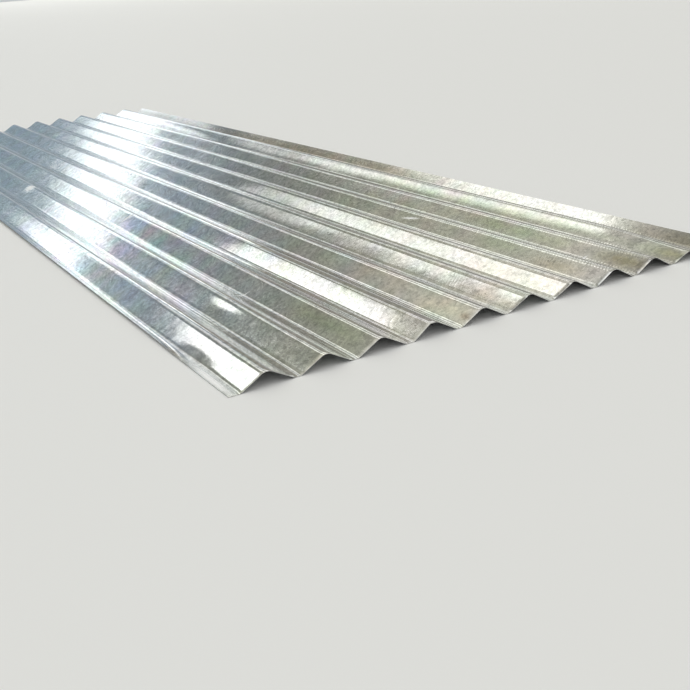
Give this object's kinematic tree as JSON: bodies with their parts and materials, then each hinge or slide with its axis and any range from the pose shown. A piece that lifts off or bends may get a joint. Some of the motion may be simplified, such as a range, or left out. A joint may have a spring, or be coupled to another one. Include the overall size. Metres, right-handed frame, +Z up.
{
  "type": "corrugated metal sheet",
  "caption": "Rectangular corrugated roofing and cladding sheet, thin galvanised steel in round waves along its full length, laid side-lapped over purlins or rails.",
  "frame": {"origin": "under the middle of the sheet, on the level that its valleys rest on", "axes": "+X along the waves, +Y across the waves from the low long edge to the raised long edge, +Z up"},
  "size_m": [2.44, 0.8002, 0.018],
  "materials": {
    "galvanised_steel": "bright hot-dip galvanised, fine even spangle, new and unpainted"
  },
  "bodies": {
    "root": {"corrugated_sheet": "galvanised_steel"}
  },
  "joints": []
}
